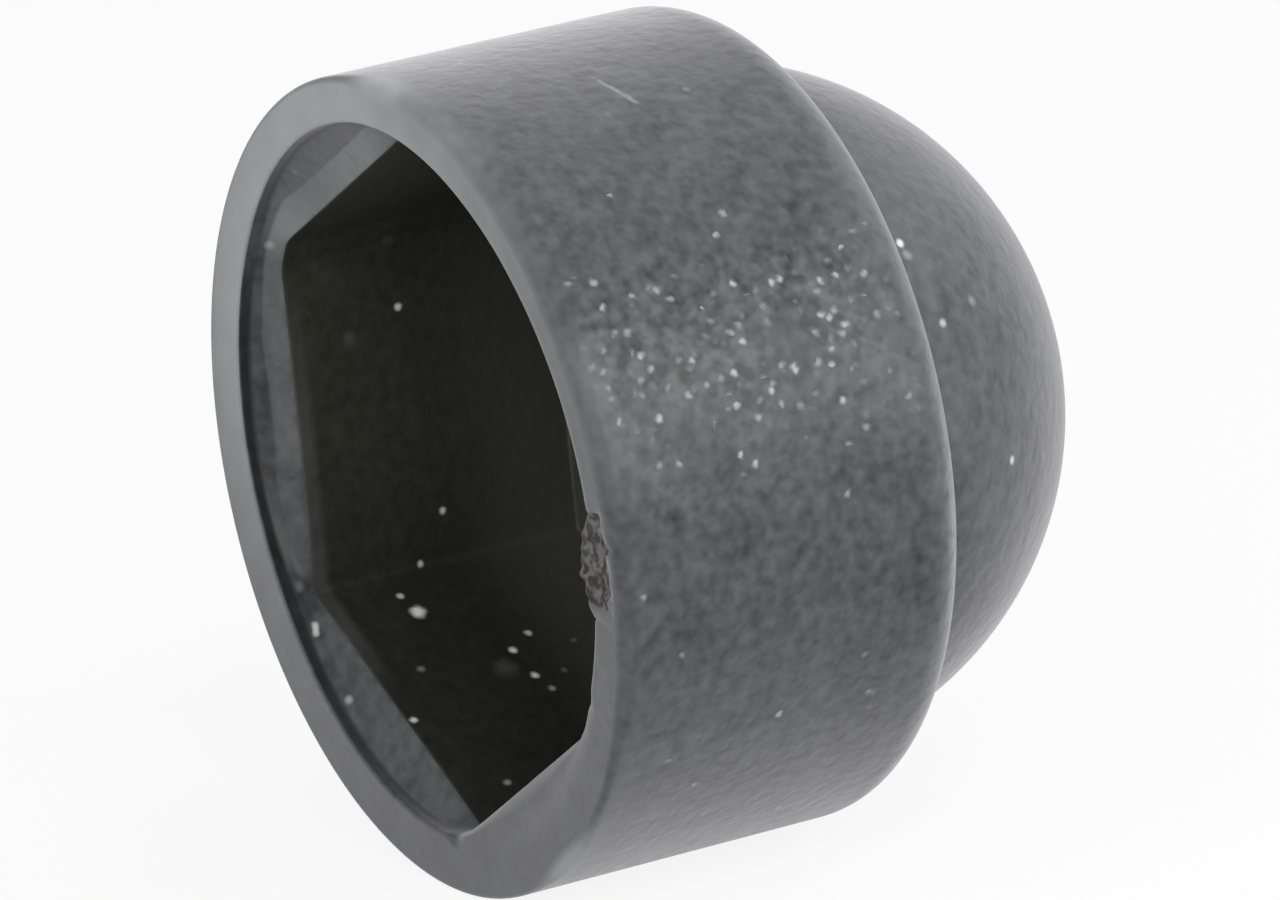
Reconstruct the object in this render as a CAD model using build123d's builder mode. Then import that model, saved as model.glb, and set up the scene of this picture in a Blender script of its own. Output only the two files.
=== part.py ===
"""Wheel nut cover cap: a one-piece plastic cap with a round skirt, a hexagon socket and a hollow dome.

Millimetres and degrees. The cap's axis is +Y and the mouth lies in the plane y = 0, facing -Y.
The dome points to +Y, and one corner of the socket points up, to +Z.
"""
import os
from math import cos, pi, radians, tan

from build123d import *

# Wheel nut that the cap is pushed on
nut_across_flats = 19.0
nut_sides = 6

# Hexagon socket, loose at its entrance and snug at the nut stop
socket_clearance = 0.1
socket_draft = 0.5
corner_round = 0.3

# Mouth recess, which clears the nut's corners: a short wall, a funnel of six flats and a flatter ledge
lip_clearance = 0.1
wall_depth = 0.45
funnel_depth = 0.45
ledge_width = 0.85
ledge_fall = 0.3

# Round skirt
corner_wall = 1.7
skirt_length = 12.2
skirt_draft = 0.3
rim_chamfer = 0.3
lip_chamfer = 0.15

# Shoulder and dome
shoulder_round = 1.6
shoulder_flat = 0.35
overall_height = 21.2

# Nut stop at the socket's end, and the round hollow behind it, with a flat ceiling, for the stud's end
stop_wall = 1.7
stop_ledge = 0.2
dome_wall = 1.3
ceiling_drop = 1.2

# Torn stub of the moulding gate, left on the lip
stub_turn = -1.5
stub_reach = 1.05
stub_round = 2.2

# Sizes that follow from the ones above
ledge_depth = wall_depth + funnel_depth
socket_start = ledge_depth + ledge_fall
socket_end = skirt_length - stop_wall
entrance_apothem = (nut_across_flats + socket_clearance) / 2
stop_apothem = entrance_apothem - (socket_end - socket_start) * tan(radians(socket_draft))
entrance_corner = entrance_apothem / cos(pi / nut_sides)
lip_radius = entrance_corner + lip_clearance
ledge_apothem = entrance_apothem + ledge_width
funnel_apothem = ledge_apothem + (lip_radius - ledge_apothem) * ledge_depth / funnel_depth
skirt_radius = entrance_corner + corner_wall
skirt_top_radius = skirt_radius - skirt_length * tan(radians(skirt_draft))
dome_base = skirt_top_radius - shoulder_round - shoulder_flat
hollow_base = stop_apothem - stop_ledge
hollow_height = overall_height - dome_wall
ceiling_height = hollow_height - ceiling_drop
stub_centre = lip_radius - stub_reach + stub_round


def hexagon(apothem, depth):
    """Hexagon with rounded corners, one of them up, at a depth behind the rim."""
    with BuildSketch(Plane.ZX.offset(depth)) as section:
        RegularPolygon(apothem, nut_sides, major_radius=False)
        fillet(section.vertices(), corner_round)
    return section.sketch


def dome_arc(pole_height, base_radius, base_height):
    """Arc of a sphere on the axis, from its pole down to its base."""
    return TangentArc((0, pole_height), (base_radius, base_height), tangent=(1, 0))


# The whole hollow, from the mouth inwards
with BuildPart() as hollow:
    # Mouth recess: the flats of the funnel and the ledge, which lead the nut in, inside a round wall
    loft([hexagon(funnel_apothem, 0), hexagon(ledge_apothem, ledge_depth)])
    loft([hexagon(ledge_apothem, ledge_depth), hexagon(entrance_apothem, socket_start)])
    with BuildSketch(Plane.ZX):
        Circle(lip_radius)
    extrude(amount=socket_start, mode=Mode.INTERSECT)

    # Socket with tapered flats
    loft([hexagon(entrance_apothem, socket_start), hexagon(stop_apothem, socket_end)])

    # Vaulted room behind the nut stop, cut level at its ceiling
    with BuildSketch(Plane.XY):
        with BuildLine():
            vault = dome_arc(hollow_height, hollow_base, socket_end)
            Polyline(vault @ 1, (0, socket_end), vault @ 0)
        make_face()
    revolve(axis=Axis.Y)
    split(bisect_by=Plane.ZX.offset(ceiling_height), keep=Keep.BOTTOM)

with BuildPart() as cover_cap:
    # Skirt, shoulder and dome, turned about the axis
    with BuildSketch(Plane.XY) as outside:
        with BuildLine():
            crown = dome_arc(overall_height, dome_base, skirt_length)
            Polyline(crown @ 1, (skirt_top_radius, skirt_length), (skirt_radius, 0), (0, 0), crown @ 0)
        make_face()
        chamfer(outside.vertices().group_by(Axis.Y)[0].sort_by(Axis.X)[-1], rim_chamfer)
        fillet(outside.vertices().group_by(Axis.Y)[-2].sort_by(Axis.X)[-1], shoulder_round)
    revolve(axis=Axis.Y)
    add(hollow.part, mode=Mode.SUBTRACT)

    # Chamfered lip round the mouth
    rim_face = cover_cap.faces().sort_by(Axis.Y)[0]
    chamfer(rim_face.inner_wires()[0].edges(), lip_chamfer)

    # Gate stub, a shallow bulge on the lip's inner side, down into the recess's floor
    with BuildSketch(Plane.XZ):
        with PolarLocations(stub_centre, 1, start_angle=stub_turn):
            Circle(stub_round)
        Circle(lip_radius + lip_chamfer, mode=Mode.INTERSECT)
    extrude(amount=-socket_start)

cover_cap.part.label = "cover_cap"

os.makedirs("parts", exist_ok=True)
export_step(cover_cap.part, "parts/cover_cap.step")
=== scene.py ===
"""Wheel nut cover cap: look of the moulded plastic cap, lying on its side on a pale floor.

Shapes are worked out in millimetres in the frame's axes and written to the mesh in metres. The cap's axis
is +Y, with the mouth at y = 0. A turn is an angle about that axis, from +X towards +Z, and a depth is a
distance along it from the rim.
"""
from math import cos, radians, sin, tan

import bpy
import numpy as np
from mathutils import Matrix, Vector


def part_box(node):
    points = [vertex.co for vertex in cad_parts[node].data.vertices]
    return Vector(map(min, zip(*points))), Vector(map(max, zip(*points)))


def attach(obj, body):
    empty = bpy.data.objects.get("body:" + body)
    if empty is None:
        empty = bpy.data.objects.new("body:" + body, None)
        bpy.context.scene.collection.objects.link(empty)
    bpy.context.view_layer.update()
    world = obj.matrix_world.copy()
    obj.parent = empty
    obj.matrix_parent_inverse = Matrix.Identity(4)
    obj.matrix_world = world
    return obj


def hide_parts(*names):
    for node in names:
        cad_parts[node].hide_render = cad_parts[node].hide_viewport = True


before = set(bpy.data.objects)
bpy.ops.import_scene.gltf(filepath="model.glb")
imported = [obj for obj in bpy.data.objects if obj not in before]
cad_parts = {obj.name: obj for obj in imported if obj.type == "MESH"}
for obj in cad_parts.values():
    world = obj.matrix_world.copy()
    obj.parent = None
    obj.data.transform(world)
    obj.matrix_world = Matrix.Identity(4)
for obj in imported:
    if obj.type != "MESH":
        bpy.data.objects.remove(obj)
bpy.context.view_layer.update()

MM = 0.001
low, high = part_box("cover_cap")

# Sizes of the cap in millimetres, the outer ones read from the frame
skirt_radius = -low[0] / MM
overall_height = high[1] / MM
skirt_length = 12.2
skirt_draft = radians(0.3)
shoulder_round = 1.6
shoulder_flat = 0.35
crease_round = 0.3
lip_radius = 11.05
wall_depth = 0.4
socket_start = 1.2
socket_apothem = 9.55
socket_draft = radians(0.5)
socket_end = 10.5
edge_round = 0.12
hollow_radius = 9.265
vault_height = 19.9
ceiling_height = 18.7

# Ledge round the socket's edge: its width, how gently it falls, and its largest share of the recess's floor
ledge_width = 0.85
ledge_ease = 0.74
ledge_most = 0.75

# Mouth as moulded and worn: a little high, oval, wavy and swollen, its edges rounder on the near side
mouth_rise = 0.22
mouth_oval = 0.16
lip_wander = 0.01
lip_seed = 3
lip_waves = (4, 30)
lip_swell = 0.45
lip_swell_turn = radians(58.0)
lip_swell_width = radians(42.0)
rim_round = 0.13
rim_wear = 0.75
rim_wear_turn = radians(28.0)
rim_wear_width = radians(46.0)
lip_round = 0.12
lip_wear = 0.3
lip_wear_turn = radians(35.0)
lip_wear_width = radians(50.0)

# Worn stretches of the rim's outer edge, rounder and painted with a highlight: a turn and a width in
# degrees, and how worn and highlit it is
edge_wear = 0.3
worn_highlit_edges = ((90.0, 7.0, 1.0), (74.0, 14.0, 0.45), (54.0, 12.0, 0.2),
              (22.0, 18.0, 0.3), (-18.0, 14.0, 0.2), (-55.0, 10.0, 1.0))

# Lower right of the mouth, where the recess is shallow and runs into the rim
shallow_turn = radians(-57.0)
shallow_half = radians(31.5)
shallow_fade = radians(6.0)
shallow_turns = (radians(-90.0), radians(-30.0))
shallow_depths = (0.8, 0.45)
shallow_edges = (0.37, 0.22)
shallow_level = 0.12
shallow_spread = 0.3
shallow_loss = 0.75

# Torn stub of the moulding gate on the lip
stub_turn = radians(-1.5)
stub_reach = 1.05
stub_round = 2.2
stub_width = radians(9.0)

# Ragged patch round the stub: its ends round the lip, its outer edge, and the lumps of its torn plastic
tear_shift = radians(0.7)
tear_fade = radians(3.0)
tear_ragged = 0.35
tear_end_seed = 21
tear_end_waves = (40, 130)
tear_radius = 12.1
tear_wander = 0.5
tear_soft = 0.4
tear_edge_seed = 22
tear_edge_waves = (30, 110)
tear_sink = 0.06
tear_rough = 0.15
tear_depth = 0.3
tear_side = 0.1
lump_seed = 8
lump_count = 12
lump_pitch = 6.0
lump_phase = 6.28

# Painted light and shade of the mouth, paler above nought and darker below, with its turns and widths
rim_pale = 0.72
rim_pale_turn = radians(118.0)
rim_pale_width = radians(88.0)
rim_top_pale = 0.2
near_shade = -0.3
lip_pale = 0.3
ledge_pale = 0.26
ledge_pale_turn = radians(155.0)
ledge_pale_width = radians(55.0)
upper_pale = 0.32
upper_pale_turn = radians(107.0)
upper_pale_width = radians(17.0)
corner_pale = 0.35
corner_pale_turn = radians(143.0)
corner_pale_width = radians(8.0)
wall_shade = -0.75
wall_gap_turn = radians(147.0)
wall_gap_width = radians(7.0)
funnel_shade = -0.05
shallow_shade = -0.3
shallow_clear = 0.8

# Corners of the socket, as powers of a mean of its flats, with one corner duller than the rest
corner_sharpness = 150.0
dull_sharpness = 24.0
dull_turn = radians(150.0)
dull_width = radians(11.0)
corner_turns = np.radians(np.arange(30.0, 390.0, 60.0))
flat_turns = np.radians(np.arange(0.0, 360.0, 60.0))
least_cosine = 1e-6

# Grid of the cap's surface: columns round the axis, and rings on each stretch of the profile
turn_count = 400
density_steps = 7201
corner_crowd = 2.0
corner_crowd_width = radians(3.0)
stub_crowd = 4.0
dome_start = radians(89.4)
dome_rings = 44
crease_start = radians(2.5)
crease_runs = (2, 2)
shoulder_rings = 16
wall_runs = (14, 10, 8, 8, 8, 14, 6)
corner_steps = 6
side_room = 0.95
vault_rings = 24
ceiling_rings = 6
pole_ring = 0.3

# Camera, aimed at a point inside the cap
view_azimuth = radians(61.801)
view_elevation = radians(15.413)
view_roll = radians(5.662)
view_distance = 509.03
view_aim = np.array((-0.942, 8.368, -0.813))
view_lens = 469.87
view_sensor = 36.0

# Soft square lamps, each with a place in millimetres and a power in watts, and the surroundings' light
softbox_size = 200.0
softboxes = (("right_softbox", (280.0, 120.0, 120.0), 0.68),
             ("camera_softbox", (260.0, -120.0, 140.0), 0.47),
             ("front_softbox", (0.0, -300.0, 100.0), 0.18),
             ("back_softbox", (0.0, 230.0, 220.0), 0.14))
surroundings_level = 0.4

# Floor: half its width in metres, how pale it is for light on its way and where it is seen, and how much of
# what is seen of it is its own white
floor_half = 4.0
floor_bounce = 0.35
floor_pale = 0.95
floor_white = 0.88


def turn_apart(turns, centre):
    """Angle from a centre turn to each turn, between half a turn back and half a turn on."""
    return np.angle(np.exp(1j * (turns - centre)))


def bell(turns, centre, width):
    """Bell-shaped share round the axis: 1 at the centre turn, falling off over the width."""
    return np.exp(-(turn_apart(turns, centre) / width) ** 2)


def shallow_side(turns):
    """Share of the shallow lower right of the mouth: a smooth step up at one turn and down at another."""
    share = np.clip((shallow_half - np.abs(turn_apart(turns, shallow_turn))) / shallow_fade + 0.5, 0.0, 1.0)
    return share * share * (3.0 - 2.0 * share)


def edge_wear_and_highlight(turns):
    """How worn the rim's outer edge is round the mouth, which rounds it and sets its painted highlight: a
    sum of bells of different widths and heights.
    """
    return sum(amount * bell(turns, radians(centre), radians(width))
               for centre, width, amount in worn_highlit_edges)


def turn_grid():
    """Turns of the surface's columns, crowded at the socket's corners and at the torn stub.

    The columns' density is 1 plus a bell at each corner and a wider bell at the stub. The turns are where
    the density's running sum passes equal steps.
    """
    fine = np.linspace(-np.pi, np.pi, density_steps)
    corners = bell(fine[:, None], corner_turns[None, :], corner_crowd_width).sum(axis=1)
    density = 1.0 + corner_crowd * corners + stub_crowd * bell(fine, stub_turn, stub_width)
    running = np.concatenate([[0.0], np.cumsum((density[1:] + density[:-1]) / 2.0)])
    return np.interp(np.arange(turn_count) / turn_count, running / running[-1], fine)


def waves(turns, seed, slowest, fastest, count=9):
    """Wandering line round the axis: a mean of sines with seeded whole numbers of waves and phases."""
    dice = np.random.default_rng(seed)
    numbers = dice.integers(slowest, fastest, count)
    phases = dice.uniform(0.0, 2.0 * np.pi, count)
    return np.sin(turns[:, None] * numbers + phases).mean(axis=1)


def hexagon(turns):
    """Radius of a hexagon of apothem 1 with softened corners: a high power mean of its flats' distances.

    The power is lower at one corner, which is duller than the rest.
    """
    flats = np.clip(np.cos(turns[:, None] - flat_turns[None, :]), least_cosine, None)
    power = corner_sharpness + (dull_sharpness - corner_sharpness) * bell(turns, dull_turn, dull_width)
    return (flats ** power[:, None]).sum(axis=1) ** (-1.0 / power)


def stub_line(turns):
    """Radius of the stub's inner side: the near side of a circle seen from the axis, endless elsewhere."""
    centre = lip_radius - stub_reach + stub_round
    apart = turn_apart(turns, stub_turn)
    across = stub_round ** 2 - (centre * np.sin(apart)) ** 2
    near = centre * np.cos(apart) - np.sqrt(np.clip(across, 0.0, None))
    return np.where((across > 0.0) & (np.cos(apart) > 0.0), near, np.inf)


def lip_line(turns):
    """Radius of the lip round the mouth, cut off by the stub's inner side.

    It is a circle plus a share of sin a, which lifts it, less a share of cos 2a, which makes it oval, plus
    a wandering line, less the bell of the swelling.
    """
    wander = lip_wander * waves(turns, lip_seed, *lip_waves)
    lip = lip_radius + mouth_rise * np.sin(turns) - mouth_oval * np.cos(2.0 * turns) + wander
    return np.minimum(lip - lip_swell * bell(turns, lip_swell_turn, lip_swell_width), stub_line(turns))


def arc(turns, centre, radius, start, end, count):
    """Turned arc about a centre on the section, from one angle to another, the same at every turn."""
    angles = np.linspace(start, end, count)
    points = np.stack([centre[0] + radius * np.cos(angles), centre[1] + radius * np.sin(angles)], axis=-1)
    return np.repeat(points[:, None, :], turns.size, axis=1)


def ring(turns, radius, height):
    """One ring of the profile, from radii and heights that may change with the turn."""
    return np.stack([np.broadcast_to(radius, turns.shape), np.broadcast_to(height, turns.shape)], axis=-1)


def crowded(start, end, count):
    """Rings on the way from one ring to another, without the last, closer together at both ends."""
    shares = (1.0 - np.cos(np.linspace(0.0, np.pi, count + 1)[:-1])) / 2.0
    return [start + (end - start) * share for share in shares]


def rounded(rings, cuts, runs):
    """Profile through rings, straight from each to the next, with every inner corner rounded.

    A corner P is the parabola (1 - t)^2 S + 2 t (1 - t) P + t^2 E, where S and E lie on its two sides at
    the corner's cut. Where two cuts don't fit on one side, they share it. Points on a straight run crowd
    towards its ends.
    """
    none = 0.0 * rings[0][:, :1]
    cuts = [none] + [cut + none for cut in cuts] + [none]
    rows = []
    start = rings[0]
    for index in range(1, len(rings) - 1):
        corner = rings[index]
        ends = []
        for other in (index - 1, index + 1):
            side = rings[other] - corner
            length = np.linalg.norm(side, axis=-1, keepdims=True)
            room = side_room * length * cuts[index] / (cuts[index] + cuts[other])
            ends.append(corner + side / length * np.minimum(cuts[index], room))
        rows += crowded(start, ends[0], runs[index - 1])
        rows += [(1 - t) ** 2 * ends[0] + 2 * t * (1 - t) * corner + t * t * ends[1]
                 for t in np.linspace(0, 1, corner_steps + 1)[:-1]]
        start = ends[1]
    rows += crowded(start, rings[-1], runs[-1])
    return np.stack(rows + [rings[-1]])


def dome_angles(pole, base_radius, base_height):
    """Centre height, radius and base angle of the sphere through a pole on the axis and a base circle."""
    rise = pole - base_height
    radius = (base_radius ** 2 + rise ** 2) / (2.0 * rise)
    return pole - radius, radius, np.arctan2(base_height - pole + radius, base_radius)


def recess_rings(turns, unit):
    """Rings of the mouth recess from the lip to the socket's edge, and how far its edges are spread.

    The wall drops from the lip, the funnel falls from the wall's foot to the ledge, and the ledge falls
    more gently to the socket's flats. On the shallow side the wall is low, and the ledge lies near the rim.
    """
    low_side = shallow_side(turns)
    spread = shallow_spread * low_side
    lip = lip_line(turns)
    flats = socket_apothem * unit
    floor = lip - flats
    wall = lip - spread * np.clip(floor, 0.0, 1.0)
    foot_depth = wall_depth * (1.0 - shallow_loss * low_side)
    low_depth = np.interp(turns, shallow_turns, shallow_depths)
    socket_depth = socket_start + (low_depth - socket_start) * low_side
    ledge_share = np.minimum(ledge_width * unit / np.maximum(floor, edge_round), ledge_most)
    ledge = flats + floor * ledge_share
    ledge_depth = socket_depth - (socket_depth - foot_depth) * ledge_share * ledge_ease
    low_edge = np.minimum(np.interp(turns, shallow_turns, shallow_edges), ledge_most * floor)
    ledge = ledge + (flats + low_edge - ledge) * low_side
    ledge_depth = ledge_depth + (shallow_level - ledge_depth) * low_side
    rings = [ring(turns, lip + spread, 0.0), ring(turns, wall, foot_depth), ring(turns, ledge, ledge_depth),
             ring(turns, flats, socket_depth)]
    return rings, spread


def wall_rows(turns, shoulder_end):
    """Rings from the shoulder's end down the skirt, over the rim, and through the socket to the stop.

    Every edge between them is rounded, and those of the rim and the lip more where they are worn.
    """
    unit = hexagon(turns)
    recess, spread = recess_rings(turns, unit)
    stop = (socket_apothem - (socket_end - socket_start) * tan(socket_draft)) * unit
    rim_cut = rim_round + rim_wear * bell(turns, rim_wear_turn, rim_wear_width)
    rim_cut = rim_cut + edge_wear * edge_wear_and_highlight(turns)
    lip_cut = lip_round + lip_wear * bell(turns, lip_wear_turn, lip_wear_width) + spread
    recess_cut = edge_round + spread
    rings = [shoulder_end, ring(turns, skirt_radius, 0.0), *recess, ring(turns, stop, socket_end),
             ring(turns, hollow_radius, socket_end)]
    worn_cuts = [cut[:, None] for cut in (rim_cut, lip_cut, recess_cut, recess_cut)]
    return rounded(rings, worn_cuts + [edge_round, edge_round], wall_runs)


def cap_profile(turns):
    """Rings of the whole cap from the outer pole over the rim to the inner pole.

    It also gives the rows where the rounded edges of the rim, lip, wall, ledge, socket and stop start.
    """
    shoulder_height = skirt_length - shoulder_round
    shoulder_radius = skirt_radius - shoulder_height * tan(skirt_draft) - shoulder_round / cos(skirt_draft)
    dome_base = shoulder_radius - shoulder_flat
    dome_centre, dome_radius, dome_foot = dome_angles(overall_height, dome_base, skirt_length)
    dome = arc(turns, (0.0, dome_centre), dome_radius, dome_start, dome_foot + crease_start, dome_rings)
    crease = rounded([dome[-1], ring(turns, dome_base, skirt_length),
                      ring(turns, shoulder_radius, skirt_length)], [crease_round], crease_runs)
    shoulder = arc(turns, (shoulder_radius, shoulder_height), shoulder_round, radians(90.0), skirt_draft,
                   shoulder_rings)
    walls = wall_rows(turns, shoulder[-1])
    vault_centre, vault_radius, vault_foot = dome_angles(vault_height, hollow_radius, socket_end)
    vault_top = np.arcsin((ceiling_height - vault_centre) / vault_radius)
    vault = arc(turns, (0.0, vault_centre), vault_radius, vault_foot, vault_top, vault_rings)
    ceiling = np.stack(crowded(vault[-1], ring(turns, pole_ring, ceiling_height), ceiling_rings)[1:])
    rows = np.concatenate([dome[:-1], crease[:-1], shoulder[:-1], walls[:-1], vault, ceiling])
    before = len(dome) + len(crease) + len(shoulder) - 3
    edges = [before + sum(wall_runs[:count]) + (count - 1) * corner_steps
             for count in range(1, len(wall_runs))]
    return rows, edges


def tear(turns, rows):
    """How torn each point is, from 0 to 1: a patch on the lip and rim round the stub, with wavy edges."""
    radius, height = rows[..., 0], rows[..., 1]
    apart = turn_apart(turns, stub_turn + tear_shift)
    end = stub_width * (1.0 + tear_ragged * waves(turns, tear_end_seed, *tear_end_waves))
    along = np.clip((end - np.abs(apart)) / tear_fade, 0.0, 1.0)
    edge = tear_radius + tear_wander * waves(turns, tear_edge_seed, *tear_edge_waves)
    across = np.clip((edge - radius) / tear_soft, 0.0, 1.0)
    mouth = (height < socket_start) & (radius > socket_apothem)
    return along[None, :] * across * mouth


def cap_points(turns):
    """Points of the cap's grid in millimetres, the rows where its edges start, and how torn each point is.

    Each ring point turns about the axis to (r cos a, y, r sin a). Torn points sink by seeded plane waves.
    """
    rows, edges = cap_profile(turns)
    torn = tear(turns, rows)
    dice = np.random.default_rng(lump_seed)
    radius, height = rows[..., 0], rows[..., 1]
    grid = np.stack([np.broadcast_to(turns * lip_radius, radius.shape), radius + height], axis=-1)
    directions = dice.normal(0.0, lump_pitch, (2, lump_count))
    lumps = np.sin(grid @ directions + dice.uniform(0.0, lump_phase, lump_count)).mean(axis=-1)
    height = np.maximum(height + torn * (tear_sink + tear_rough * lumps) * (height < tear_depth), 0.0)
    radius = radius + torn * tear_side * lumps
    points = np.stack([radius * np.cos(turns), height, radius * np.sin(turns)], axis=-1)
    return points, edges, torn


def painted_mouth_shading(turns, row_count, edges):
    """Painted light and shade of the mouth at each point: painted paler above nought, and painted darker
    below.

    The rim is painted palest up at the left and along its worn outer edge, a painted shadow line darkens the
    wall behind the lip, painted shade darkens the lip's near side, the funnel and the shallow lower right,
    and the ledge is painted paler than the funnel. Each of these is a sum of bells round the mouth, and
    between them, from ring to ring, the value changes evenly.
    """
    rim, lip, wall, ledge, socket = edges[:5]
    half = corner_steps // 2
    plain = np.zeros(turns.size)
    low_side = shallow_side(turns)
    top = bell(turns, upper_pale_turn, upper_pale_width)
    beside = bell(turns, ledge_pale_turn, ledge_pale_width)
    corner = corner_pale * bell(turns, corner_pale_turn, corner_pale_width)
    upper_left = bell(turns, rim_pale_turn, rim_pale_width) * rim_pale + top * rim_top_pale
    lip_start = upper_left + lip_pale * beside
    lip_middle = lip_start + near_shade * bell(turns, lip_wear_turn, lip_wear_width)
    gap = bell(turns, wall_gap_turn, wall_gap_width)
    dark_wall = wall_shade * (1.0 - gap) * (1.0 - shallow_clear * low_side)
    dark_funnel = funnel_shade + corner + shallow_shade * low_side
    pale_ledge = beside * ledge_pale + top * upper_pale + corner + shallow_shade * low_side
    # Painted highlight on the rim's worn edge, painted light on the rim and ledge, painted shade on the lip,
    # wall and funnel
    stations = {0: plain, rim - 2: plain, rim + half: edge_wear_and_highlight(turns),
                rim + corner_steps + 1: upper_left, lip: lip_start, lip + half: lip_middle,
                lip + corner_steps: dark_wall, wall + half: dark_wall, wall + corner_steps: dark_funnel,
                ledge: dark_funnel, ledge + half: pale_ledge, socket: pale_ledge, row_count: plain}
    around = np.stack(list(stations.values()))
    place_on = np.interp(np.arange(row_count), list(stations), np.arange(len(stations)))
    before = np.minimum(place_on.astype(int), len(stations) - 2)
    share = (place_on - before)[:, None]
    return around[before] * (1.0 - share) + around[before + 1] * share


def grid_mesh(name, points, poles, shares):
    """Closed mesh from a grid of rings, each joined to the next, with a fan from each end to a pole.

    It stores named shares, one value for each point of the grid.
    """
    row_count, column_count = points.shape[:2]
    index = np.arange(row_count * column_count).reshape(row_count, column_count)
    beside = np.roll(index, -1, axis=1)
    quads = np.stack([index[:-1], index[1:], beside[1:], beside[:-1]], axis=-1).reshape(-1, 4)
    first, last = index.size, index.size + 1
    outer_fan = np.stack([np.full(column_count, first), index[0], beside[0]], axis=-1)
    inner_fan = np.stack([np.full(column_count, last), beside[-1], index[-1]], axis=-1)
    corners = np.concatenate([quads.ravel(), outer_fan.ravel(), inner_fan.ravel()])
    sizes = np.concatenate([np.full(len(quads), 4), np.full(2 * column_count, 3)])
    mesh = bpy.data.meshes.new(name)
    mesh.vertices.add(index.size + 2)
    mesh.vertices.foreach_set("co", (np.concatenate([points.reshape(-1, 3), poles]) * MM).ravel())
    mesh.loops.add(corners.size)
    mesh.loops.foreach_set("vertex_index", corners)
    mesh.polygons.add(sizes.size)
    mesh.polygons.foreach_set("loop_start", np.concatenate([[0], np.cumsum(sizes)[:-1]]))
    mesh.polygons.foreach_set("use_smooth", np.ones(sizes.size, dtype=bool))
    for label, share in shares.items():
        layer = mesh.attributes.new(label, "FLOAT", "POINT")
        layer.data.foreach_set("value", np.concatenate([share.ravel(), share[0, :1], share[-1, :1]]))
    mesh.update(calc_edges=True)
    mesh.validate()
    return mesh


def place(name, data):
    """Adds an object to the scene at the origin."""
    thing = bpy.data.objects.new(name, data)
    bpy.context.scene.collection.objects.link(thing)
    return thing


class Socket:
    """A shader value: sums, products and the like with numbers or other values add Math nodes."""

    def __init__(self, finish, link):
        self.finish = finish
        self.link = link

    def math(self, operation, first, second):
        return self.finish.node("ShaderNodeMath", {"operation": operation}, {0: first, 1: second})

    def __add__(self, other):
        return self.math("ADD", self, other)

    def __sub__(self, other):
        return self.math("SUBTRACT", self, other)

    def __rsub__(self, other):
        return self.math("SUBTRACT", other, self)

    def __mul__(self, other):
        return self.math("MULTIPLY", self, other)

    def __gt__(self, other):
        return self.math("GREATER_THAN", self, other)

    def __abs__(self):
        return self.math("ABSOLUTE", self, 0.0)

    def also(self, output):
        """Another output of the node that this value comes from."""
        return Socket(self.finish, self.link.node.outputs[output])

    __radd__ = __add__
    __rmul__ = __mul__


class Finish:
    """A material's node tree, built by calls that each add one node."""

    def __init__(self, owner):
        owner.use_nodes = True
        self.tree = owner.node_tree
        self.tree.nodes.clear()

    def node(self, kind, settings=None, sockets=None, output=0):
        """Adds a node, sets its settings and its sockets' values or links, and gives one of its outputs."""
        made = self.tree.nodes.new(kind)
        for key, value in (settings or {}).items():
            setattr(made, key, value)
        for key, value in (sockets or {}).items():
            if isinstance(value, Socket):
                self.tree.links.new(value.link, made.inputs[key])
            else:
                made.inputs[key].default_value = value
        return Socket(self, made.outputs[output]) if made.outputs else None

    def coordinates(self):
        """Object coordinates, in metres."""
        return self.node("ShaderNodeTexCoord", output="Object")

    def share(self, label):
        """A share that the mesh stores at its points."""
        return self.node("ShaderNodeAttribute", {"attribute_name": label}, output="Fac")

    def noise(self, where, size, detail=1.0, roughness=0.5):
        """Soft noise from 0 to 1 with lumps of a size in millimetres."""
        return self.node("ShaderNodeTexNoise", {"noise_dimensions": "3D"},
                         {"Vector": where, "Scale": 1.0 / (size * MM), "Detail": detail,
                          "Roughness": roughness})

    def span(self, value, start, end):
        """Smooth step from 0 at the start to 1 at the end."""
        return self.node("ShaderNodeMapRange", {"interpolation_type": "SMOOTHSTEP"},
                         {"Value": value, "From Min": start, "From Max": end})

    def blend(self, share, first, second):
        """Colour between two colours."""
        return self.node("ShaderNodeMix", {"data_type": "RGBA"}, {0: share, 6: first, 7: second}, output=2)

    def seen(self):
        """1 for what is seen directly, in a reflection or through glass, and 0 for light on its way."""
        return (self.node("ShaderNodeLightPath", output="Is Camera Ray")
                + self.node("ShaderNodeLightPath", output="Is Glossy Ray")
                + self.node("ShaderNodeLightPath", output="Is Transmission Ray"))


def grey(level, warmth=0.0):
    """Neutral colour of a level, a little warmer or, below nought, cooler."""
    return (level * (1.0 + warmth), level, level * (1.0 - warmth), 1.0)


# Grain of the moulded plastic: sizes of its lumps in millimetres, and how much each changes the tone
fine_size = 0.24
fine_tone = 0.15
grain_size = 0.45
grain_tone = 1.3
mottle_size = 1.6
mottle_tone = 0.8
mottle_detail = 3.0
mottle_rough = 0.55

# Bumps of the grain: their height in millimetres and the share of each noise, less on the rim than behind it
bump_height = 0.035
fine_bump = 0.4
grain_bump = 0.6
mottle_bump = 0.8
speck_bump = 0.3
rim_bump = 0.3
rim_bump_depth = 2.0

# Finish of the plastic, outside, in the socket and on the torn stub
plastic_ior = 1.5
plastic_gloss = 0.3
outer_rough = 0.42
outer_rough_change = 0.25
outer_sheen = 0.6
socket_rough = 0.5
torn_rough = 0.6
inner_rough_change = 0.2
sheen_rough = 0.5
cool_sheen = (0.95, 0.94, 1.0, 1.0)

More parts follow.
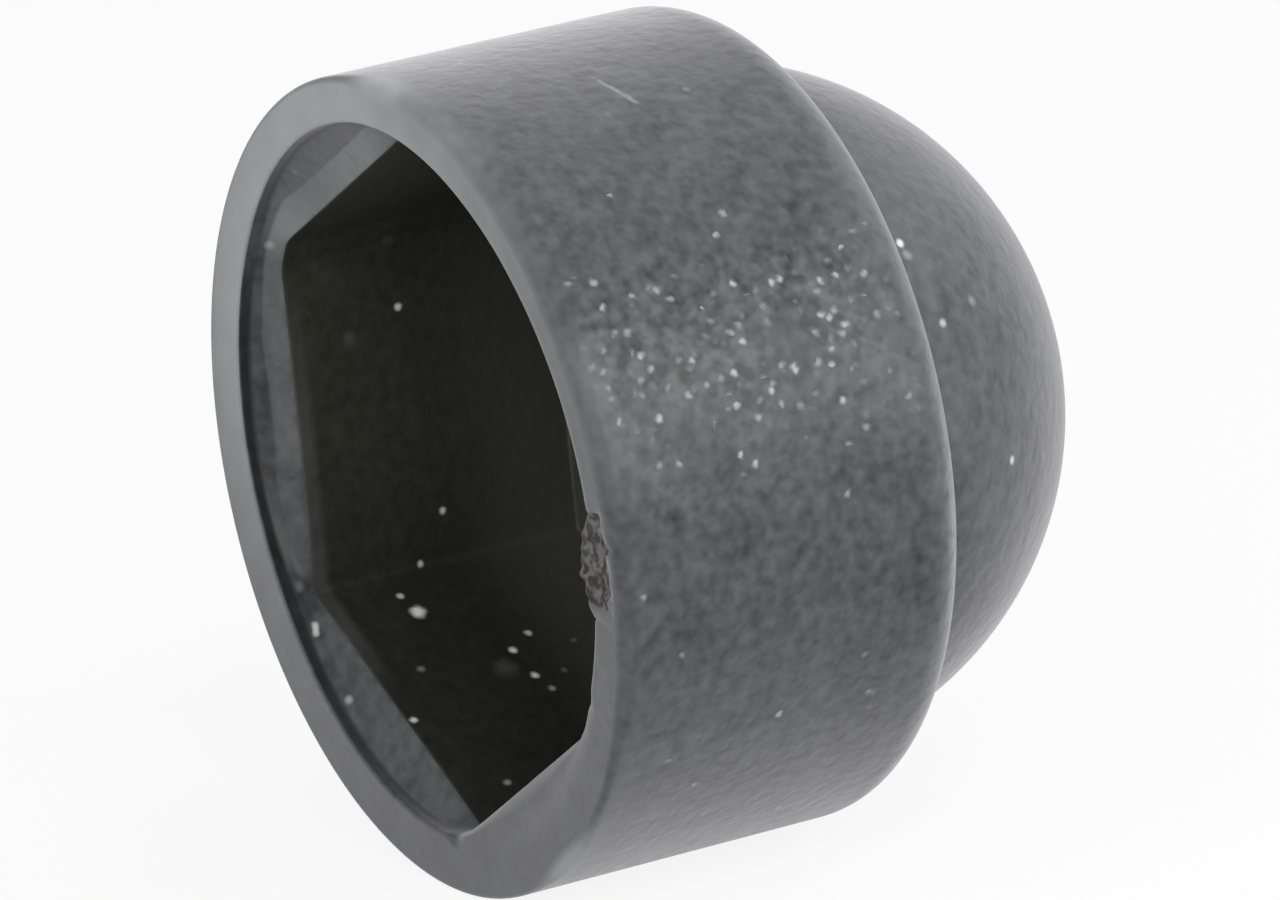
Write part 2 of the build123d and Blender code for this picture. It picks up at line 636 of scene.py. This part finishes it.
# Colours outside, from the black of pits and painted shade to the white of single spots, and the painted
# light's grey and share
pit_and_shade_black = grey(0.006)
dark_grain = grey(0.008, -0.06)
light_grain = grey(0.084, -0.06)
edge_grey = grey(0.3, -0.02)
painted_light_grey = grey(0.35, -0.02)
painted_light_share = 0.7
painted_light_mottle = 0.6
scuff_grey = grey(0.35)
speck_grey = grey(0.45, -0.02)
spot_white = grey(0.8)

# Colours of the torn stub, a little brown, and where its noise turns from dark to crest
torn_edge = grey(0.015, 0.05)
torn_share = 0.8
torn_crests = (0.85, 1.2)
torn_dark = grey(0.014, 0.05)
torn_crest = grey(0.15, 0.06)

# Colours of the socket, a little olive, of its painted shade and light, and of its dust
socket_dark = (0.026, 0.027, 0.019, 1.0)
socket_light = (0.044, 0.045, 0.034, 1.0)
socket_low = grey(0.008)
socket_low_share = 0.6
socket_high = (0.09, 0.092, 0.075, 1.0)
socket_high_share = 0.8
socket_deep = (0.075, 0.076, 0.062, 1.0)
entrance_grey = grey(0.09, 0.03)
dust_white = grey(0.9)

# Where the socket's tone changes: heights of its low flats (painted shade) and high flats (painted light),
# the left of its entrance (painted light), and its depth
low_flats_full = -0.8 * socket_apothem
high_flats_start = 0.45 * socket_apothem
entrance_east = (-0.5 * socket_apothem, -0.9 * socket_apothem)
entrance_up = (0.5 * socket_apothem, 0.1 * socket_apothem)
entrance_depths = (socket_start + 0.7, socket_start + 0.3)
deep_depths = (socket_end - 5.0, socket_end - 0.2)

# Flecks of dust on the socket's flats, each a turn in degrees, a depth, a size and how bright it is
dust = [(163.4, 5.05, 0.22, 1.0), (-141.3, 3.87, 0.42, 1.0), (-145.5, 3.68, 0.22, 0.7),
        (-157.9, 5.88, 0.2, 0.9), (-150.6, 4.9, 0.2, 0.7), (-127.3, 5.88, 0.24, 1.0),
        (-130.4, 6.7, 0.22, 0.9), (-120.0, 6.0, 0.24, 1.0), (-115.8, 6.22, 0.22, 0.4),
        (-119.4, 6.97, 0.2, 0.15), (-126.0, 7.92, 0.2, 0.15), (-128.4, 2.74, 0.25, 0.2),
        (-116.7, 1.44, 0.22, 0.8), (-97.5, 2.88, 0.22, 0.3), (-123.5, 5.28, 0.7, 0.05),
        (151.8, 4.89, 0.4, 0.04), (167.0, 3.26, 0.4, 0.04)]

# Single light spots on the funnel, the shoulder and the dome, those by the shoulder's crease partly wear and
# partly painted glints, each a turn in degrees, a radius, a depth, a size and how bright it is
light_spots = [(-151.6, 10.88, 0.67, 0.3, 0.2), (-144.6, 10.8, 0.7, 0.2, 0.6),
               (-143.9, 10.8, 0.66, 0.2, 0.6), (-143.2, 10.8, 0.62, 0.2, 0.6),
               (-129.8, 10.72, 0.6, 0.25, 0.35), (148.3, 11.01, 0.78, 0.3, 0.35),
               (128.4, 10.92, 0.57, 0.25, 0.12), (37.7, 10.57, 12.88, 0.24, 0.9),
               (35.5, 10.55, 12.95, 0.3, 0.2), (23.1, 10.43, 13.41, 0.24, 0.5),
               (-3.6, 9.67, 15.31, 0.24, 0.7), (26.0, 9.88, 14.87, 0.3, 0.2)]

# A fleck's soft edge, outside and inside, and how ragged it is, as shares of its size
fleck_outer = 1.05
fleck_inner = 0.3
fleck_ragged = 0.4

# Band of the skirt with the painted highlight, where the grain's glints are painted: its middle, half and
# core in degrees of turn, the depths where it fades, the mottle that breaks it up, and its contrast
glint_turn = 25.0
glint_half = 18.0
glint_core = 1.8
glint_mouth_fade = (0.2, 1.0)
glint_shoulder_fade = (12.0, 9.0)
glint_patches = (0.25, 0.5)
glint_contrast = 1.6

# Light specks, painted glints of the grain, and dark pits: the cells that hold them, the share of cells with
# one in the band and elsewhere, their strengths, and the ripple that makes them ragged
speck_cell = 0.42
speck_seed = 7.0
speck_share = 0.62
speck_stray = 0.014
speck_pale = 0.75
speck_faint = 0.08
pit_cell = 0.44
pit_seed = 19.0
pit_share = 0.45
pit_stray = 0.05
pit_shade = 0.4
dot_radius = 0.42
ripple_size = 0.25
ripple_reach = 0.22

# Stretch of the shoulder with a pale line, partly rubbed and partly a painted highlight, in degrees of turn
# and in depth
shoulder_turn = -10.0
shoulder_half = 34.0
shoulder_line = 11.75
shoulder_line_half = 0.5
shoulder_line_core = 0.1
shoulder_breaks = (0.38, 0.62)
shoulder_pale = 0.3

# Painted light on both sides of the shoulder's crease, lifting its shade, in degrees of turn and in depth
crease_light_turn = 27.0
crease_light_half = 42.0
crease_light_core = 10.5
crease_light_depth = 12.4
crease_light_reach = 3.6
crease_light_middle = 0.4
crease_light_pale = 0.09

# Scuff on the skirt, from one turn and depth to another, with its half width, core and faded ends
scuff = ((75.7, 5.65), (65.5, 6.29))
scuff_half = 0.14
scuff_core = 0.03
scuff_fade = 0.4
scuff_breaks = (0.3, 0.6)
scuff_pale = 0.5


def in_millimetres(finish, where):
    """A point's three coordinates in millimetres: to the east, in depth and up."""
    east = finish.node("ShaderNodeSeparateXYZ", None, {0: where})
    return east * (1.0 / MM), east.also("Y") * (1.0 / MM), east.also("Z") * (1.0 / MM)


def plastic_grain(finish, where):
    """Noises of the moulded grain: fine, middling and wide."""
    fine = finish.noise(where, fine_size)
    grain = finish.noise(where, grain_size)
    mottle = finish.noise(where, mottle_size, mottle_detail, mottle_rough)
    return fine, grain, mottle


def plastic_tone(fine, grain, mottle):
    """Tone of the plastic about a half: a weighted sum of the three noises, most of it the middling one."""
    return (grain - 0.5) * grain_tone + (mottle - 0.5) * mottle_tone + (fine - 0.5) * fine_tone + 0.5


def plastic_surface(finish, colour, rough, height, sheen=0.0):
    """Finished plastic: colour, roughness and bump from nodes, with one gloss and one sheen all over."""
    bump = finish.node("ShaderNodeBump", None,
                       {"Strength": 1.0, "Distance": bump_height * MM, "Height": height})
    surface = finish.node("ShaderNodeBsdfPrincipled", None,
                          {"Base Color": colour, "Roughness": rough, "Normal": bump, "IOR": plastic_ior,
                           "Specular IOR Level": plastic_gloss, "Sheen Weight": sheen,
                           "Sheen Roughness": sheen_rough, "Sheen Tint": cool_sheen})
    finish.node("ShaderNodeOutputMaterial", None, {"Surface": surface})


def dots(finish, unrolled, size, seed):
    """Soft dots, one in each cell of a size: how near the dot's middle is, and two random draws for it."""
    apart = finish.node("ShaderNodeVectorMath", {"operation": "ADD"},
                        {0: unrolled, 1: Vector((seed, seed, 0.0))})
    cells = finish.node("ShaderNodeTexVoronoi", {"voronoi_dimensions": "2D"},
                        {"Vector": apart, "Scale": 1.0 / size})
    drawn = finish.node("ShaderNodeTexWhiteNoise", {"noise_dimensions": "3D"},
                        {"Vector": cells.also("Color")}, output="Color")
    draw = finish.node("ShaderNodeSeparateColor", None, {0: drawn})
    return finish.span(cells, dot_radius, 0.0), draw, draw.also("Green")


def fleck(finish, where, fine, spot, size):
    """Soft ragged spot of a size in millimetres about a point."""
    near = finish.node("ShaderNodeVectorMath", {"operation": "DISTANCE"},
                       {0: where, 1: spot}, output="Value")
    ragged = near + fine * (fleck_ragged * size * MM)
    return finish.span(ragged, fleck_outer * size * MM, fleck_inner * size * MM)


def on_turn(turn, radius, depth):
    """Point in metres at a turn in degrees, a radius and a depth."""
    return Vector((radius * cos(radians(turn)), depth, radius * sin(radians(turn)))) * MM


def glint_specks(finish, where, turn, depth, mottle):
    """Light specks, painted glints of the grain, and dark pits: soft dots that a draw picks, most of them in
    the band of the painted highlight.

    The dots lie on the skirt unrolled to a plane, and a ripple makes them ragged.
    """
    skirt = finish.span(depth, *glint_shoulder_fade) * finish.span(depth, *glint_mouth_fade)
    band = finish.span(abs(turn - glint_turn), glint_half, glint_core) * finish.span(mottle, *glint_patches)
    flat = finish.node("ShaderNodeCombineXYZ", None, {0: turn * radians(skirt_radius), 1: depth})
    ripple = finish.noise(where, ripple_size)
    unrolled = finish.node("ShaderNodeVectorMath", {"operation": "MULTIPLY_ADD"},
                           {0: ripple.also("Color"), 1: Vector((ripple_reach, ripple_reach, 0.0)), 2: flat})
    light, light_draw, strength = dots(finish, unrolled, speck_cell, speck_seed)
    dark, dark_draw, _ = dots(finish, unrolled, pit_cell, pit_seed)
    strength = strength * strength * speck_pale + speck_faint
    speck = light * ((light_draw + band * speck_share + speck_stray) > 1.0) * strength * skirt
    pit = dark * ((dark_draw + band * pit_share + pit_stray) > 1.0) * skirt
    return band * skirt, speck, pit


def shoulder_wear_and_highlight(finish, turn, depth, grain):
    """Pale line on the shoulder where it turns over to the dome, broken by the grain: partly wear and partly
    a painted highlight.
    """
    line = finish.span(abs(depth - shoulder_line), shoulder_line_half, shoulder_line_core)
    stretch = finish.span(abs(turn - shoulder_turn), shoulder_half, 0.0)
    return line * stretch * finish.span(grain, *shoulder_breaks)


def shoulder_crease_light(finish, turn, depth):
    """Faint painted light on both sides of the shoulder, on the upper near side, lifting the shade of the
    crease.
    """
    across = finish.span(abs(depth - crease_light_depth), crease_light_reach, crease_light_middle)
    return across * finish.span(abs(turn - crease_light_turn), crease_light_half, crease_light_core)


def scuff_line(finish, turn, depth):
    """Thin scuff on the skirt: near the line between its two ends, unrolled round the skirt."""
    (turn_a, depth_a), (turn_b, depth_b) = scuff
    way = np.array((radians(turn_b - turn_a) * skirt_radius, depth_b - depth_a))
    length = float(np.hypot(*way))
    across, down = (way / length).tolist()
    round_skirt = (turn - turn_a) * radians(skirt_radius)
    along = round_skirt * across + (depth - depth_a) * down
    beside = round_skirt * down - (depth - depth_a) * across
    return (finish.span(abs(beside), scuff_half, scuff_core)
            * finish.span(abs(along - length / 2), length / 2, length / 2 - scuff_fade))


def cap_plastic():
    """Black polyethylene outside: a dark cool grey that varies with the grain, with painted light and shade
    round the mouth, painted glints in a band of the skirt, and painted light on the shoulder.
    """
    material = bpy.data.materials.new("cap_plastic")
    finish = Finish(material)
    where = finish.coordinates()
    east, depth, up = in_millimetres(finish, where)
    turn = east.math("ARCTAN2", up, east) * (180.0 / np.pi)
    fine, grain, mottle = plastic_grain(finish, where)
    painted_shading = finish.share("painted_shading")
    band, speck, pit = glint_specks(finish, where, turn, depth, mottle)
    # Stronger grain contrast in the band of the painted highlight
    tone = plastic_tone(fine, grain, mottle) + (grain - 0.5) * band * glint_contrast
    # Painted light of the mouth, paler above nought
    painted_light = finish.span(painted_shading, 0.0, 1.0) * (mottle * painted_light_mottle + painted_light_share)
    colour = finish.blend(tone, dark_grain, light_grain)
    colour = finish.blend(painted_light, colour, painted_light_grey)
    # Painted shade of the mouth below nought: the shadow line behind the lip and the darker funnel and lower
    # right
    colour = finish.blend(finish.span(painted_shading, 0.0, -1.0), colour, pit_and_shade_black)
    colour = finish.blend(pit * pit_shade, colour, pit_and_shade_black)
    # Painted glints of the grain
    colour = finish.blend(speck, colour, speck_grey)
    # Painted light on both sides of the shoulder's crease
    colour = finish.blend(shoulder_crease_light(finish, turn, depth) * crease_light_pale, colour, painted_light_grey)
    # Pale shoulder line: partly wear, partly a painted highlight
    colour = finish.blend(shoulder_wear_and_highlight(finish, turn, depth, grain) * shoulder_pale, colour, edge_grey)
    colour = finish.blend(finish.share("torn") * torn_share, colour, torn_edge)
    scuffed = scuff_line(finish, turn, depth) * finish.span(fine, *scuff_breaks)
    colour = finish.blend(scuffed * scuff_pale, colour, scuff_grey)
    for spot_turn, radius, spot_depth, size, bright in light_spots:
        spot = on_turn(spot_turn, radius, spot_depth)
        colour = finish.blend(fleck(finish, where, fine, spot, size) * bright, colour, spot_white)
    height = grain * grain_bump + mottle * mottle_bump
    height = height * (finish.span(depth, 0.0, rim_bump_depth) + rim_bump) + speck * speck_bump
    rough = outer_rough + (grain - 0.5) * outer_rough_change
    plastic_surface(finish, colour, rough, height, outer_sheen)
    return material


def torn_plastic():
    """Torn plastic of the gate's stub: dark, a little brown, with paler crests."""
    material = bpy.data.materials.new("torn_plastic")
    finish = Finish(material)
    fine, grain, _ = plastic_grain(finish, finish.coordinates())
    colour = finish.blend(finish.span(fine + grain, *torn_crests), torn_dark, torn_crest)
    rough = torn_rough + (grain - 0.5) * inner_rough_change
    plastic_surface(finish, colour, rough, grain * grain_bump + fine * fine_bump)
    return material


def socket_plastic():
    """The same plastic in the socket, where nothing rubs: near black, a little olive, with flecks of dust.

    It is darker on the low flats with painted shade, paler with painted light on the high flats and at the
    left of the entrance, and paler deep inside.
    """
    material = bpy.data.materials.new("socket_plastic")
    finish = Finish(material)
    where = finish.coordinates()
    fine, grain, mottle = plastic_grain(finish, where)
    east, depth, up = in_millimetres(finish, where)
    # Painted shade on the low flats, painted light on the high flats and at the left of the entrance
    low_flats = finish.span(up, 0.0, low_flats_full)
    high_flats = finish.span(up, high_flats_start, socket_apothem)
    left = finish.span(east, *entrance_east) * finish.span(up, *entrance_up)
    entrance = left * finish.span(depth, *entrance_depths)
    colour = finish.blend(plastic_tone(fine, grain, mottle), socket_dark, socket_light)
    colour = finish.blend(low_flats * socket_low_share, colour, socket_low)
    colour = finish.blend(high_flats * socket_high_share, colour, socket_high)
    colour = finish.blend(entrance * mottle, colour, entrance_grey)
    colour = finish.blend(finish.span(depth, *deep_depths), colour, socket_deep)
    for dust_turn, dust_depth, size, bright in dust:
        radius = socket_apothem * float(hexagon(np.array([radians(dust_turn)]))[0])
        spot = on_turn(dust_turn, radius, dust_depth)
        colour = finish.blend(fleck(finish, where, fine, spot, size) * bright, colour, dust_white)
    rough = socket_rough + (grain - 0.5) * inner_rough_change
    plastic_surface(finish, colour, rough, grain * grain_bump + fine * fine_bump)
    return material


def pale_floor():
    """White floor: where it is seen it is mostly its own white, with the cap's shadow kept."""
    material = bpy.data.materials.new("pale_floor")
    finish = Finish(material)
    seen = finish.seen()
    lit = finish.node("ShaderNodeBsdfDiffuse", None,
                      {"Color": finish.blend(seen, grey(floor_bounce), grey(floor_pale))})
    white = finish.node("ShaderNodeEmission", None, {"Color": grey(1.0), "Strength": 1.0})
    surface = finish.node("ShaderNodeMixShader", None, {0: seen * floor_white, 1: lit, 2: white})
    finish.node("ShaderNodeOutputMaterial", None, {"Surface": surface})
    return material


def make_cap():
    """The cap's moulded shell, which stands for the CAD solid.

    Faces from the middle of the socket's edge inwards have the socket's plastic, and torn faces the stub's.
    """
    turns = turn_grid()
    points, edges, torn = cap_points(turns)
    socket_row = edges[4] + corner_steps // 2
    poles = np.array(((0.0, overall_height, 0.0), (0.0, ceiling_height, 0.0)))
    # Painted light and shade of the mouth, stored at the points
    shares = {"painted_shading": painted_mouth_shading(turns, len(points), edges), "torn": torn}
    mesh = grid_mesh("moulded_cap", points, poles, shares)
    mesh.materials.append(cap_plastic())
    mesh.materials.append(socket_plastic())
    mesh.materials.append(torn_plastic())
    rows = np.repeat(np.append(np.arange(len(points) - 1), (0, len(points))), turn_count)
    ragged = np.concatenate([torn[:-1].ravel(), np.zeros(2 * turn_count)]) > 0.5
    mesh.polygons.foreach_set("material_index", np.where(ragged, 2, rows >= socket_row).astype(np.int32))
    cap = place("moulded_cap", mesh)
    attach(cap, "root")
    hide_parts("cover_cap")


def make_floor():
    """Level floor under the cap's skirt."""
    corners = ((-1, -1), (1, -1), (1, 1), (-1, 1))
    mesh = bpy.data.meshes.new("floor")
    mesh.from_pydata([(x * floor_half, y * floor_half, low[2]) for x, y in corners], [], [(0, 1, 2, 3)])
    mesh.materials.append(pale_floor())
    place("floor", mesh)


def make_light(name, place_mm, power):
    """Soft square lamp that faces the cap's middle."""
    lamp = bpy.data.lights.new(name, "AREA")
    lamp.size = softbox_size * MM
    lamp.energy = power
    light = place(name, lamp)
    light.location = Vector(place_mm) * MM
    middle = Vector((0.0, overall_height / 2, 0.0)) * MM
    light.rotation_euler = (middle - light.location).to_track_quat("-Z", "Y").to_euler()


def make_world():
    """Surroundings that are white where they are seen, and light the cap evenly at a lower level."""
    world = bpy.data.worlds.new("surroundings")
    bpy.context.scene.world = world
    finish = Finish(world)
    level = surroundings_level + finish.seen() * (1.0 - surroundings_level)
    backdrop = finish.node("ShaderNodeBackground", None, {"Color": grey(1.0), "Strength": level})
    finish.node("ShaderNodeOutputWorld", None, {"Surface": backdrop})


def make_camera():
    """Camera turned by azimuth and elevation about the aim, then rolled."""
    back = np.array((sin(view_azimuth) * cos(view_elevation), -cos(view_azimuth) * cos(view_elevation),
                     sin(view_elevation)))
    level = np.array((cos(view_azimuth), sin(view_azimuth), 0.0))
    upright = np.cross(back, level)
    right = level * cos(view_roll) - upright * sin(view_roll)
    up = upright * cos(view_roll) + level * sin(view_roll)
    lens = bpy.data.cameras.new("camera")
    lens.lens = view_lens
    lens.sensor_width = view_sensor
    camera = place("camera", lens)
    turn = np.eye(4)
    turn[:3, :3] = np.stack([right, up, back], axis=1)
    turn[:3, 3] = (view_aim + back * view_distance) * MM
    camera.matrix_world = Matrix(turn.tolist())
    bpy.context.scene.camera = camera


make_cap()
make_floor()
for softbox in softboxes:
    make_light(*softbox)
make_world()
make_camera()
bpy.context.scene.view_settings.view_transform = "Standard"
